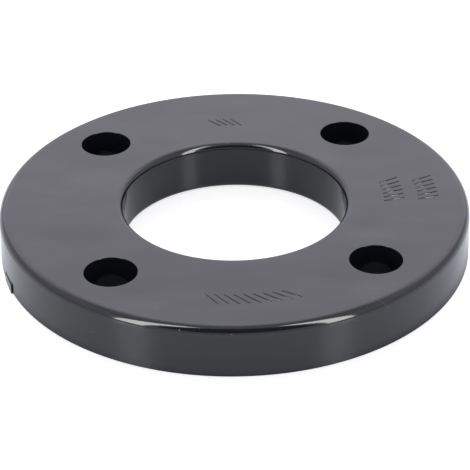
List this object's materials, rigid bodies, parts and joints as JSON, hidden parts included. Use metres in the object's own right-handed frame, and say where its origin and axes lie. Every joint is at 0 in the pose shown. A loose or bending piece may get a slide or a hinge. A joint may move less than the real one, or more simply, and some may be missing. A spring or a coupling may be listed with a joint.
{
  "type": "lap joint flange",
  "caption": "Loose rigid plastic ring that slips over a pipe end and is bolted up behind its collar, with a round-lipped bore and bolt holes on a circle.",
  "frame": {"origin": "centre of the bore on the underside, which is the face that lies on the floor and can bear on the pipe's collar", "axes": "+Z along the bore towards the face that takes the bolt heads; the bolt holes lie on the diagonals between +X and +Y"},
  "size_m": [0.165, 0.165, 0.018],
  "materials": {
    "moulded_pvc": "glossy dark grey injection moulding, with faint flow marks and a little dust"
  },
  "bodies": {
    "root": {"flange_ring": "moulded_pvc"}
  },
  "joints": []
}
